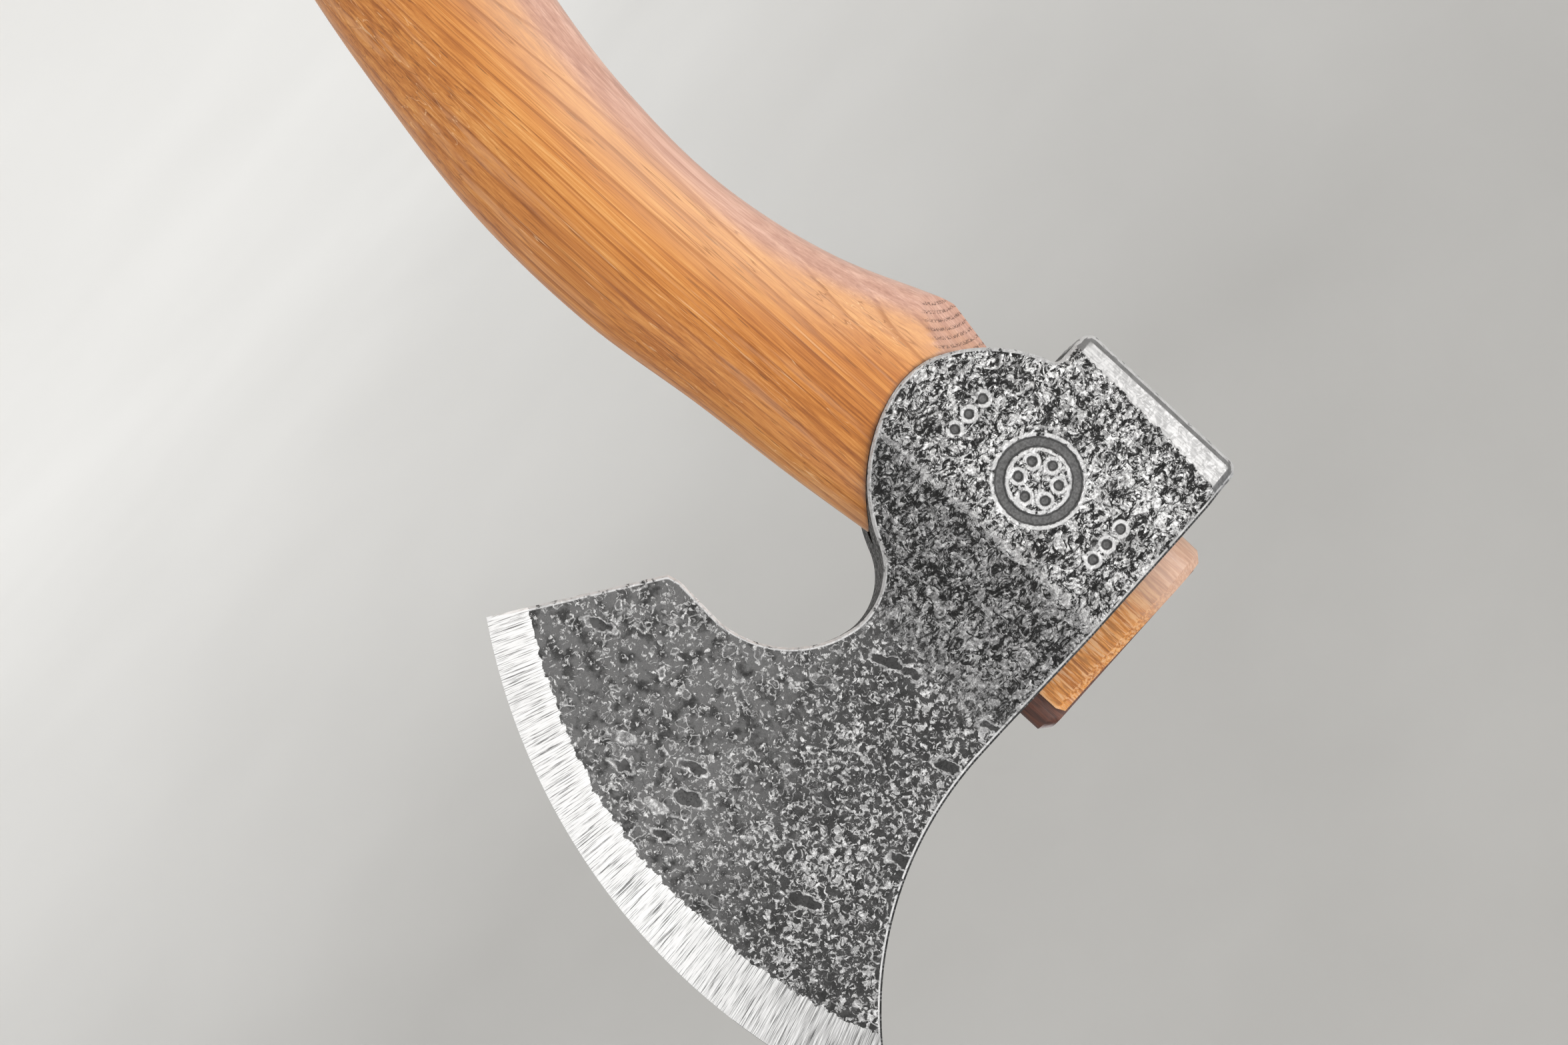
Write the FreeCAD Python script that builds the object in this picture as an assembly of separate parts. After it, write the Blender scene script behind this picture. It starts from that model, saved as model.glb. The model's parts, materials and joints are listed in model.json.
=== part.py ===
import FreeCAD, Part
import math
import os

V = FreeCAD.Vector

# A bearded hatchet: a forged steel head, a curved hardwood handle wedged into its eye, and the
# wedge. Millimetres. +Z runs up the handle to the top of the head, +X points to the cutting
# edge, and the cheeks face +Y and -Y. The origin is the centre of the handle's flat butt.
# The head is drawn about the eye: X = 0 at the eye's middle, Z = 0 on the head's top face.

# Where the head sits
handleLength = 370.0        # butt to the head's top face
buttToEye = 13.0            # how far the eye's middle stands in front of the butt's centre

# Eye, a drop shape in plan: a round back and a narrow round front
eyeLengthTop = 43.8
eyeLengthBottom = 37.7
eyeBackSlope = 0.5          # how much further back the eye starts at its lower end
eyeBackRadius = 9.5
eyeFrontRadius = 3.1
eyeTaper = 0.5              # how much smaller the back radius is at the lower end

# Head seen from the side
pollWall = 14.6             # steel between the eye and the poll face
pollHeight = 36.9
pollCorner = 2.6
neckNotch = 4.9             # how far the lug starts behind the eye
neckFillet = 2.2
lugDrop = 55.3              # top face to the lowest point of the lugs
frontWall = 2.1             # steel between the eye's lower front and the finger notch
bladeNeck = 31.9            # top face to the top of the finger notch
notchWidth = 29.0
notchShoulder = 39.0        # top face to where the finger notch runs into the lugs
beardDrop = 63.0            # top face to the inner corner of the beard
beardChamfer = 2.5
beardLean = 0.6             # how far the beard's inner edge leans back down the chamfer
bladeReach = 75.8           # eye front to the foremost point of the edge
edgeRadius = 118.8
toeRise = 31.5
heelDrop = 81.9
toeBack = 7.8               # toe and heel behind the foremost point
heelBack = 24.0
topFlat = 11.0              # straight top in front of the eye, before it sweeps to the toe

# Lug outline: share of the lugs' width from their back, and height above their lowest point
lugCurve = [(0.17, 5.4), (0.32, 1.0), (0.44, 0.0), (0.57, 0.7), (0.82, 6.2)]
# Finger notch: share of its width from the lugs, and depth below its top
notchCurve = [(0.13, 2.4), (0.45, 0.0), (0.84, 6.6), (1.0, 18.5)]

# Head seen from above
eyeWall = 5.5               # steel beside the eye at its widest
pollHalf = 10.6             # half thickness of the striking face
pollBevels = [(1.5, 1.8), (5.0, 2.9)]       # behind the face, and how much thicker there
cheekSwell = [(-1.5, -0.4), (3.0, 0.0)]     # from the eye's back, and short of full thickness
cheekFlat = 26.0            # flat part of the cheek, measured from the eye's back
cheekSlope = 0.322          # how fast the cheek closes in beside the narrowing eye
bladeHalf = 2.4             # half thickness where the ground bevel starts
bladeSlope = 0.085
bladeOverlap = 2.5          # the blade's own section starts this far behind the eye's front
bevelWidth = 10.5
edgeHalf = 0.15

# Handle
shoulderDrop = 57.8         # top face to the handle's widest point, under the lugs
shoulderDepth = 43.1
shoulderThickness = 28.4
shoulderProud = 0.5         # wood in front of the lugs at the shoulder
shoulderFacet = (-0.78, 0.60, 0.148)        # which way the shoulder's back facet on +Y faces
underLugs = (18.0, -3.5, 3.0, 0.4)          # last row above the shoulder: rise, shift, growth
ovalEnd = 0.74              # radius of an oval's ends, as a share of half its thickness
buttDepth = 35.0
buttThickness = 22.0
tongueProud = 6.2
tongueChamfer = 1.6
tongueShort = 4.7           # the tongue's square front end stops this far short of the eye's
fitClearance = 0.08         # between wood and steel, and between the two pieces of wood

# Kerf and wedge
wedgeHalfTop = 2.9
wedgeHalfBottom = 0.7
wedgeDepth = 30.0           # how deep the wedge goes below the top face
kerfExtra = 5.0             # how much deeper the saw kerf is
wedgeProud = 6.6
wedgeBack = 3.0             # the wedge stops this far short of the eye's back

# Blocks that only cut
overrun = 5.0               # how far they run past what they cut
roomy = 200.0               # larger than the head
bladeRoot = 30.0            # where the blade's section starts, from the edge's centre

headTop = handleLength
eyeBackTop = -eyeLengthTop / 2
eyeFrontTop = eyeLengthTop / 2
eyeBackBottom = eyeBackTop - eyeBackSlope
eyeFrontBottom = eyeBackBottom + eyeLengthBottom
pollFace = eyeBackTop - pollWall
eyeHalf = eyeBackRadius + eyeWall
edgeFront = eyeFrontTop + bladeReach
tongueFront = eyeFrontTop - tongueShort

# Handle sections from the butt up, as a share of the way to the shoulder: the centre's place
# ahead of the eye's middle, then the full depth along X and thickness along Y.
gripSections = [
    (0.010, -13.0, 38.5, 25.4),
    (0.038, -13.2, 41.0, 27.4),
    (0.080, -14.6, 39.4, 27.0),
    (0.145, -17.4, 35.6, 25.8),
    (0.240, -20.3, 33.2, 25.0),
    (0.385, -18.8, 34.6, 25.4),
    (0.530, -11.9, 36.3, 26.6),
    (0.655, -2.9, 37.2, 27.6),
    (0.770, 4.0, 35.8, 28.0),
    (0.850, 4.9, 35.0, 28.0),
    (0.930, 1.4, 36.6, 28.0),
]


def line(a, b):
    return Part.LineSegment(a, b).toShape()


def arc(a, middle, b):
    return Part.Arc(a, middle, b).toShape()


def blockBeyond(x):
    """A large block that starts at a place along X and runs towards the edge."""
    return Part.makeBox(roomy, 2 * roomy, 2 * roomy, V(x, -roomy, -roomy))


def placeHead(shape):
    """Moves a shape drawn about the eye to its place on the handle."""
    shape.translate(V(buttToEye, 0, headTop))
    return shape


def tangentDrop(backX, frontX, backRadius, frontRadius, z):
    """Drop outline: a large back circle and a small front circle joined by tangent lines."""
    backCentre = backX + backRadius
    frontCentre = frontX - frontRadius
    lean = math.asin((backRadius - frontRadius) / (frontCentre - backCentre))
    backSide = V(backCentre + backRadius * math.sin(lean), backRadius * math.cos(lean), z)
    frontSide = V(frontCentre + frontRadius * math.sin(lean), frontRadius * math.cos(lean), z)
    backOther = V(backSide.x, -backSide.y, z)
    frontOther = V(frontSide.x, -frontSide.y, z)
    return Part.Wire([
        arc(backSide, V(backX, 0, z), backOther),
        line(backOther, frontOther),
        arc(frontOther, V(frontX, 0, z), frontSide),
        line(frontSide, backSide),
    ])


def eyeOutline(z, gap=0.0):
    """The eye's outline at a height, drawn in by a gap. It tapers from the lugs to the top."""
    share = min(max(-z / lugDrop, 0.0), 1.0)
    backX = eyeBackTop + share * (eyeBackBottom - eyeBackTop)
    frontX = eyeFrontTop + share * (eyeFrontBottom - eyeFrontTop)
    backRadius = eyeBackRadius - share * eyeTaper
    return tangentDrop(backX + gap, frontX - gap, backRadius - gap, eyeFrontRadius - gap, z)


def eyePlug(proud, gap, chamfer):
    """What fills the eye: a tapered drop, then a straight part that stands proud."""
    tapered = Part.makeLoft([eyeOutline(-lugDrop, gap), eyeOutline(0, gap)], True, True)
    neck = Part.makeLoft([eyeOutline(0, gap), eyeOutline(proud - chamfer, gap)], True, True)
    cap = Part.makeLoft(
        [eyeOutline(proud - chamfer, gap), eyeOutline(proud, gap + chamfer)], True, True)
    return tapered.fuse([neck, cap]).removeSplitter()


def eyeTool():
    """The hole through the head, run past both ends."""
    tapered = Part.makeLoft([eyeOutline(-lugDrop), eyeOutline(0)], True, True)
    above = Part.Face(eyeOutline(0)).extrude(V(0, 0, overrun))
    below = Part.Face(eyeOutline(-lugDrop)).extrude(V(0, 0, -overrun))
    return tapered.fuse([above, below])


def heelAndToe():
    return V(edgeFront - heelBack, 0, -heelDrop), V(edgeFront - toeBack, 0, toeRise)


def edgeCentre():
    """Centre of the edge's arc, from its radius, heel and toe."""
    heel, toe = heelAndToe()
    half = (toe - heel).multiply(0.5)
    middle = heel + half
    inward = V(-half.z, 0, half.x)
    inward.normalize()
    return middle + inward * math.sqrt(edgeRadius ** 2 - half.Length ** 2)


def headOutline(gap=0.0):
    """Side view of the head as a closed wire in the plane Y = 0. A gap pushes the lugs out."""
    back = eyeBackTop - neckNotch - gap
    front = eyeFrontBottom + frontWall + gap
    span = front - back
    fold = neckFillet * (1 - math.sqrt(0.5))
    neckIn = V(back - neckFillet, 0, -pollHeight)
    neckFold = V(back - fold, 0, -pollHeight - fold)
    neckOut = V(back, 0, -pollHeight - neckFillet)
    lug = [V(back + share * span, 0, rise - lugDrop - gap) for share, rise in lugCurve]
    lugEnd = V(front, 0, -notchShoulder)
    notch = [V(front + share * notchWidth, 0, -bladeNeck - drop) for share, drop in notchCurve]
    beardIn = V(notch[3].x - beardLean, 0, -beardDrop + beardChamfer)
    beardOut = V(notch[3].x, 0, -beardDrop)
    heel, toe = heelAndToe()
    edgeMiddle = edgeCentre() + V(edgeRadius, 0, 0)
    topEnd = V(eyeFrontTop + topFlat, 0, 0)
    sweepRadius = ((toe.x - topEnd.x) ** 2 + toe.z ** 2) / (2 * toe.z)
    halfTurn = math.asin((toe.x - topEnd.x) / sweepRadius) / 2
    sweepMiddle = topEnd + V(sweepRadius * math.sin(halfTurn), 0,
                             sweepRadius * (1 - math.cos(halfTurn)))
    cut = pollCorner * (1 - math.sqrt(0.5))
    pollLow = -pollHeight
    return Part.Wire([
        line(V(pollFace + pollCorner, 0, pollLow), neckIn),
        arc(neckIn, neckFold, neckOut),
        arc(neckOut, lug[0], lug[1]),
        arc(lug[1], lug[2], lug[3]),
        arc(lug[3], lug[4], lugEnd),
        arc(lugEnd, notch[0], notch[1]),
        arc(notch[1], notch[2], notch[3]),
        line(notch[3], beardIn),
        line(beardIn, beardOut),
        line(beardOut, heel),
        arc(heel, edgeMiddle, toe),
        arc(toe, sweepMiddle, topEnd),
        line(topEnd, V(pollFace + pollCorner, 0, 0)),
        arc(V(pollFace + pollCorner, 0, 0), V(pollFace + cut, 0, -cut), V(pollFace, 0, -pollCorner)),
        line(V(pollFace, 0, -pollCorner), V(pollFace, 0, pollLow + pollCorner)),
        arc(V(pollFace, 0, pollLow + pollCorner), V(pollFace + cut, 0, pollLow + cut),
            V(pollFace + pollCorner, 0, pollLow)),
    ])


def sidePrism(halfWidth, gap=0.0):
    face = Part.Face(headOutline(gap))
    face.translate(V(0, -halfWidth, 0))
    return face.extrude(V(0, 2 * halfWidth, 0))


def eyeBlock():
    """Poll and eye in plan: bevelled poll, flat cheek, then closing in towards the blade."""
    flatEnd = eyeBackTop + cheekFlat
    tip = flatEnd + (eyeHalf - edgeHalf) / cheekSlope
    half = [(pollFace, pollHalf)]
    half += [(pollFace + depth, pollHalf + more) for depth, more in pollBevels]
    half += [(eyeBackTop + x, eyeHalf + short) for x, short in cheekSwell]
    half += [(flatEnd, eyeHalf), (tip, edgeHalf)]
    low = -lugDrop - heelDrop
    corners = [V(x, y, low) for x, y in half] + [V(x, -y, low) for x, y in reversed(half)]
    plan = Part.Face(Part.makePolygon(corners + corners[:1]))
    return plan.extrude(V(0, 0, toeRise - 2 * low))


def bladeBlock():
    """Blade thickness: a turned shape about the edge's centre, thin at the rim."""
    centre = edgeCentre()
    start = edgeRadius - bevelWidth
    rootHalf = bladeHalf + bladeSlope * (start - bladeRoot)
    bevelSlope = (bladeHalf - edgeHalf) / bevelWidth
    tip = edgeRadius + edgeHalf / 2 / bevelSlope
    half = [(bladeRoot, rootHalf), (start, bladeHalf), (tip, edgeHalf / 2)]
    corners = [V(r, y, 0) for r, y in half] + [V(r, -y, 0) for r, y in reversed(half)]
    section = Part.Face(Part.makePolygon(corners + corners[:1]))
    turned = section.revolve(V(0, 0, 0), V(0, 1, 0), 360)
    turned.translate(centre)
    return turned.common(blockBeyond(eyeFrontTop - bladeOverlap))


def makeHead():
    thickness = eyeBlock().fuse(bladeBlock())
    head = sidePrism(eyeHalf + overrun).common(thickness)
    head = head.cut(eyeTool()).removeSplitter()
    return placeHead(head.Solids[0])


def oval(centreX, depth, thickness, z):
    """Oval of four tangent arcs: round ends and nearly flat sides."""
    a = depth / 2
    b = thickness / 2
    end = ovalEnd * b
    side = ((a - end) ** 2 + b * b - end * end) / (2 * (b - end))
    tilt = math.atan2(side - b, a - end)
    joinX = a - end + end * math.cos(tilt)
    joinY = end * math.sin(tilt)
    p = [V(centreX + sx * joinX, sy * joinY, z) for sx, sy in ((1, 1), (-1, 1), (-1, -1), (1, -1))]
    return Part.Wire([
        arc(p[3], V(centreX + a, 0, z), p[0]),
        arc(p[0], V(centreX, b, z), p[1]),
        arc(p[1], V(centreX - a, 0, z), p[2]),
        arc(p[2], V(centreX, -b, z), p[3]),
    ])


def shoulderFront():
    return eyeFrontBottom + frontWall + shoulderProud


def handleBody():
    """The grip and shoulder, lofted through ovals and run up past the lugs."""
    shoulder = headTop - shoulderDrop
    centre = shoulderFront() - shoulderDepth / 2
    rise, shift, deeper, thicker = underLugs
    rows = [(0.0, gripSections[0][1], buttDepth, buttThickness)]
    rows += [(share * shoulder, x, depth, thick) for share, x, depth, thick in gripSections]
    rows.append((shoulder, centre, shoulderDepth, shoulderThickness))
    rows.append((shoulder + rise, centre + shift, shoulderDepth + deeper,
                 shoulderThickness + thicker))
    wires = [oval(buttToEye + x, depth, thick, z) for z, x, depth, thick in rows]
    return Part.makeLoft(wires, True, False)


def facetTool(side):
    """Takes off the wood behind a slanting plane at the shoulder's back corner."""
    corner = V(shoulderFront() - shoulderDepth, 0, -shoulderDrop)
    normal = V(shoulderFacet[0], side * shoulderFacet[1], shoulderFacet[2])
    normal.normalize()
    block = Part.makeBox(roomy, roomy, roomy, V(-roomy / 2, -roomy / 2, 0))
    block.Placement = FreeCAD.Placement(corner, FreeCAD.Rotation(V(0, 0, 1), normal))
    return placeHead(block)


def slotWedge(halfTop, halfBottom, depth, proud):
    """A wedge shape along X: its sides pass through the given half widths at 0 and at depth."""
    slope = (halfTop - halfBottom) / wedgeDepth
    top = halfTop + slope * proud
    bottom = halfTop - slope * depth
    x = -roomy / 2
    corners = [V(x, -top, proud), V(x, top, proud), V(x, bottom, -depth), V(x, -bottom, -depth)]
    return Part.Face(Part.makePolygon(corners + corners[:1])).extrude(V(roomy, 0, 0))


def makeHandle():
    body = handleBody()
    body = body.cut([facetTool(1), facetTool(-1)])
    body = body.cut(placeHead(sidePrism(roomy / 2, fitClearance)))
    body = max(body.Solids, key=lambda solid: solid.Volume)
    tongue = eyePlug(tongueProud, fitClearance, tongueChamfer)
    kerf = slotWedge(wedgeHalfTop, wedgeHalfBottom, wedgeDepth + kerfExtra, tongueProud + overrun)
    tongue = tongue.cut([blockBeyond(tongueFront), kerf])
    handle = body.fuse(placeHead(tongue)).removeSplitter()
    return handle.Solids[0]


def makeWedge():
    plug = eyePlug(wedgeProud, fitClearance, tongueChamfer)
    plug = plug.cut(blockBeyond(eyeBackTop + wedgeBack - roomy))
    slot = slotWedge(wedgeHalfTop - fitClearance, wedgeHalfBottom - fitClearance,
                     wedgeDepth, wedgeProud + overrun)
    return placeHead(plug.common(slot).Solids[0])


def main():
    os.makedirs("parts", exist_ok=True)
    pieces = {"axe_head": makeHead(), "handle": makeHandle(), "wedge": makeWedge()}
    for name, shape in pieces.items():
        shape.exportStep(f"parts/{name}.step")
        box = shape.BoundBox
        print(name, shape.isValid(), len(shape.Solids), round(shape.Volume),
              [round(v, 1) for v in (box.XMin, box.YMin, box.ZMin, box.XMax, box.YMax, box.ZMax)])


main()
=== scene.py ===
import bpy
import bmesh
import json
import math
import numpy as np
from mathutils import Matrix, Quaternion, Vector
from types import SimpleNamespace as Settings


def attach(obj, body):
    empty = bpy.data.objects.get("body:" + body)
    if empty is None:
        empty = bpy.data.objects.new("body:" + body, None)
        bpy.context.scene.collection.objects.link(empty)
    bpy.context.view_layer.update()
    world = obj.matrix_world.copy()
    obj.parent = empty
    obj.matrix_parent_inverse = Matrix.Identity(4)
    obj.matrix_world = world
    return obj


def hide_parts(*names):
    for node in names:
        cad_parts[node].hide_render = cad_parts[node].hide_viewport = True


# A bearded hatchet: forged steel head, curved hardwood handle, dark wooden wedge.
# Shapes are worked out in millimetres about the eye (x to the edge, z up the handle, z = 0 on
# the head's top face) and moved to the frame's place when the mesh is made.

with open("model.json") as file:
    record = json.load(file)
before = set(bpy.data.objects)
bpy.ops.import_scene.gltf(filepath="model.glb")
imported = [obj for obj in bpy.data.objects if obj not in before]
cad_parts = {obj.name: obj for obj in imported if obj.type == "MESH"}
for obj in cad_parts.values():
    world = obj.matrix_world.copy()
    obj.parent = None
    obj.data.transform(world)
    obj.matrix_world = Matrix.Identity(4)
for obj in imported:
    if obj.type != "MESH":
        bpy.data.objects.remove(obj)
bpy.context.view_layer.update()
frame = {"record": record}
mounts = {mount["name"]: mount for mount in frame["record"]["mounts"]}
pollPlace = Vector(mounts["poll_face"]["pos_m"])

head = Settings(
    pollFace=-36.5, pollMiddle=-18.45, pollHeight=36.9, pollCorner=2.6,
    neckBack=-26.8, neckFillet=2.2, lugDrop=55.3, lugSpan=44.2, lugEnd=39.0,
    notchWidth=29.0, bladeNeck=31.9, beardDrop=63.0, beardChamfer=2.5,
    heel=(73.7, -81.9), toe=(89.9, 31.498), edgeRadius=118.8, topFlatEnd=32.9,
    flatHalf=14.82, cheekEnd=4.1, cheekSlope=0.322, bladeHalf=2.4, bladeSlope=0.085,
    edgeHalf=0.15, bevelHeel=7.8, bevelToe=11.5, rimChamfer=0.42, edgeChamfer=0.05,
    # share along the lugs' span or the notch's width, and height or drop there
    lugCurve=((0.17, 5.4), (0.32, 1.0), (0.44, 0.0), (0.57, 0.7), (0.82, 6.2)),
    notchCurve=((0.13, 2.4), (0.45, 0.0), (0.84, 6.6), (1.0, 18.5)), beardLean=0.6,
    # the bevel's mean width, and the heights between which it grows
    bevelMean=10.5, bevelLow=-62.0, bevelHigh=32.0, bladeOverlap=8.0,
    # behind the poll's face: the cheek's swell and its span, the broad bevel's width low down,
    # growth upwards and slope, the narrow bevel's width, slope and span, the polished band's width
    swell=1.3, swellSpan=(3, 19), broadBevel=(4.8, 2.4, 0.36),
    narrowBevel=(1.7, 1.1), narrowSpan=(6, 10), polishLow=4.2, polishHigh=6.6,
    # grid columns along each stretch of the outlines, and how they crowd to its ends
    columns=(8, 6, 14, 30, 50, 24, 44, 16, 6, 52), crowd=(0, 0, 0, 0.5, 0.5, 0, 0, 0, 0, 0),
    upperMarks=(-6.5, 32.5, 51.5, 57.5, 60.0), neckMark=2.4,
    rows=142, wallRings=6, eyeRows=24, widest=14.98,
)
eye = Settings(
    backTop=-21.9, backLow=-22.4, frontTop=21.9, frontLow=15.3,
    backRadius=9.5, frontRadius=3.1, taper=0.5,
)
headOrigin = Vector((
    pollPlace.x - head.pollFace / 1000, 0, pollPlace.z - head.pollMiddle / 1000))


# Noise worked out on whole arrays of places.

def gradientNoise(x, y, seed):
    """Random slopes at whole-number points, blended between them by a fifth-power ease."""
    angle = np.random.default_rng(seed).uniform(0, 2 * np.pi, (256, 256))
    left, low = np.floor(x).astype(int), np.floor(y).astype(int)
    fx, fy = x - left, y - low
    ex, ey = (f * f * f * (f * (f * 6 - 15) + 10) for f in (fx, fy))

    def corner(dx, dy):
        turn = angle[(left + dx) % 256, (low + dy) % 256]
        return np.cos(turn) * (fx - dx) + np.sin(turn) * (fy - dy)

    lowRow = corner(0, 0) * (1 - ex) + corner(1, 0) * ex
    highRow = corner(0, 1) * (1 - ex) + corner(1, 1) * ex
    return (lowRow * (1 - ey) + highRow * ey) * 1.5


def fractalNoise(x, y, seed, octaves=3):
    """Sum of gradient noises, each twice as fine and half as strong as the one before."""
    return sum(gradientNoise(x * 2 ** k, y * 2 ** k, seed + k) / 2 ** k for k in range(octaves))


def cellNoise(x, y, seed):
    """Distance to the nearest of one random point per unit square, and that point's own number."""
    rng = np.random.default_rng(seed)
    points = rng.uniform(0, 1, (256, 256, 3))
    left, low = np.floor(x).astype(int), np.floor(y).astype(int)
    best, number = np.full(x.shape, 9.0), np.zeros(x.shape)
    for dx in (-1, 0, 1):
        for dy in (-1, 0, 1):
            point = points[(left + dx) % 256, (low + dy) % 256]
            away = np.hypot(left + dx + point[..., 0] - x, low + dy + point[..., 1] - y)
            number = np.where(away < best, point[..., 2], number)
            best = np.minimum(best, away)
    return best, number


def ease(value, low, high):
    """0 below low, 1 above high, and 3t^2 - 2t^3 between."""
    t = np.clip((value - low) / (high - low), 0, 1)
    return t * t * (3 - 2 * t)


def softMin(a, b, width):
    """The smaller of two values, rounded over a width where they cross."""
    mix = np.clip(0.5 + 0.5 * (b - a) / width, 0, 1)
    return b * (1 - mix) + a * mix - width * mix * (1 - mix)


def softMax(a, b, width):
    return -softMin(-a, -b, width)


# Curves in the plane of the cheek, and grids of points.

def arcThrough(a, middle, b, count=60):
    """Points along the circle through three points, by equal turns about its centre."""
    (ax, az), (mx, mz), (bx, bz) = a, middle, b
    d = 2 * (ax * (mz - bz) + mx * (bz - az) + bx * (az - mz))
    aa, mm, bb = ax * ax + az * az, mx * mx + mz * mz, bx * bx + bz * bz
    cx = (aa * (mz - bz) + mm * (bz - az) + bb * (az - mz)) / d
    cz = (aa * (bx - mx) + mm * (ax - bx) + bb * (mx - ax)) / d
    start, mid, end = (math.atan2(z - cz, x - cx) for x, z in (a, middle, b))
    full = 2 * math.pi
    turn = (end - start) % full
    if (mid - start) % full > turn:
        turn -= full
    angle = start + np.linspace(0, turn, count)
    radius = math.hypot(ax - cx, az - cz)
    return np.stack([cx + radius * np.cos(angle), cz + radius * np.sin(angle)], 1)


def straight(a, b, count=30):
    return np.linspace(a, b, count)


def joined(*stretches):
    """Stretches laid end to end, with the shared end points kept once."""
    return np.concatenate([stretches[0]] + [stretch[1:] for stretch in stretches[1:]])


def spaced(points, count, crowd=0.0):
    """count + 1 points by length along a dense line, crowded to its ends by a cosine share."""
    steps = np.hypot(*np.diff(points, axis=0).T)
    length = np.concatenate([[0], np.cumsum(steps)])
    t = np.linspace(0, 1, count + 1)
    t = (1 - crowd) * t + crowd * (1 - np.cos(np.pi * t)) / 2
    return np.stack([np.interp(t * length[-1], length, points[:, k]) for k in (0, 1)], 1)


def gridFaces(rows, columns, start=0, wrap=False):
    """Four corners of each cell of a grid of vertices numbered row by row."""
    number = start + np.arange(rows * columns).reshape(rows, columns)
    if wrap:
        number = np.concatenate([number, number[:, :1]], 1)
    return stacked(number[:-1, :-1], number[:-1, 1:], number[1:, 1:], number[1:, :-1]).reshape(-1, 4)


def addObject(name, data):
    made = bpy.data.objects.new(name, data)
    bpy.context.scene.collection.objects.link(made)
    return made


def stacked(*coordinates):
    """Places in one array, from coordinates whose shapes fit together."""
    return np.stack(np.broadcast_arrays(*coordinates), -1)


def closedRings(x, one, other, z):
    """Rings up a piece with two long sides, closed by its middle line at the bottom and the top."""
    rings = np.concatenate([stacked(x, one, z), stacked(x, other, z)[:, ::-1]], 1)
    low, high = (0.5 * (end + end[::-1]) for end in (rings[0], rings[-1]))
    return np.concatenate([low[None], rings, high[None]])


class MeshParts:
    """Collects grids of points in millimetres about the eye, then welds them into one mesh."""

    def __init__(self):
        self.points, self.faces, self.values, self.count = [], [], {}, 0

    def addGrid(self, grid, wrap=False, **values):
        rows, columns = grid.shape[:2]
        self.faces.append(gridFaces(rows, columns, self.count, wrap))
        self.points.append(grid.reshape(-1, 3))
        for name, value in values.items():
            value = np.broadcast_to(value, (rows, columns)).reshape(-1)
            self.values.setdefault(name, []).append(value)
        self.count += rows * columns

    def build(self, name, sharpAngle):
        mesh = bpy.data.meshes.new(name)
        points = np.concatenate(self.points) / 1000 + np.array(headOrigin)
        faces = np.concatenate(self.faces)
        mesh.from_pydata(points.tolist(), [], faces.tolist())
        for key, parts in self.values.items():
            layer = mesh.attributes.new(key, "FLOAT", "POINT")
            layer.data.foreach_set("value", np.concatenate(parts).astype(np.float32))
        work = bmesh.new()
        work.from_mesh(mesh)
        bmesh.ops.remove_doubles(work, verts=work.verts, dist=2e-6)
        bmesh.ops.dissolve_degenerate(work, edges=work.edges, dist=1e-7)
        bmesh.ops.recalc_face_normals(work, faces=work.faces)
        work.to_mesh(mesh)
        work.free()
        mesh.polygons.foreach_set("use_smooth", [True] * len(mesh.polygons))
        mesh.set_sharp_from_angle(angle=math.radians(sharpAngle))
        mesh.update()
        piece = addObject(name, mesh)
        openEdges = int(np.sum(edgeUse(mesh) != 2))
        print(name, len(mesh.vertices), "points,", len(mesh.polygons), "faces, open edges", openEdges)
        return piece


def edgeUse(mesh):
    """How many faces meet at each edge."""
    index = np.empty(len(mesh.loops), int)
    mesh.loops.foreach_get("edge_index", index)
    return np.bincount(index, minlength=len(mesh.edges))


# The head's shape.

def circleCentre(a, b, radius):
    """Centre of the circle of a radius through two points, on the poll's side."""
    a, b = np.array(a), np.array(b)
    half = (b - a) / 2
    inward = np.array([-half[1], half[0]]) / np.hypot(*half)
    return a + half + inward * math.sqrt(radius ** 2 - half @ half)


edgeCentre = circleCentre(head.heel, head.toe, head.edgeRadius)


def eyeHalfWidth(x, z, gap=0.0):
    """Half width of the eye's drop outline: a back circle, tangent lines and a front circle."""
    share = np.clip(-z / head.lugDrop, 0, 1)
    back = eye.backTop + share * (eye.backLow - eye.backTop) + gap
    front = eye.frontTop + share * (eye.frontLow - eye.frontTop) - gap
    r1 = eye.backRadius - share * eye.taper - gap
    r2 = eye.frontRadius - gap
    c1, c2 = back + r1, front - r2
    sine = (r1 - r2) / (c2 - c1)
    cosine = np.sqrt(1 - sine ** 2)
    circle1 = np.sqrt(np.clip(r1 ** 2 - (x - c1) ** 2, 0, None))
    circle2 = np.sqrt(np.clip(r2 ** 2 - (x - c2) ** 2, 0, None))
    side = r1 * cosine - (x - c1 - r1 * sine) * sine / cosine
    return np.where(x < c1 + r1 * sine, circle1, np.where(x > c2 + r2 * sine, circle2, side))


def bevelWidth(z):
    """Width of the ground bevel: it grows from the heel to the toe."""
    grown = ease(z, head.bevelLow, head.bevelHigh)
    return head.bevelHeel + (head.bevelToe - head.bevelHeel) * grown


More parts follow.
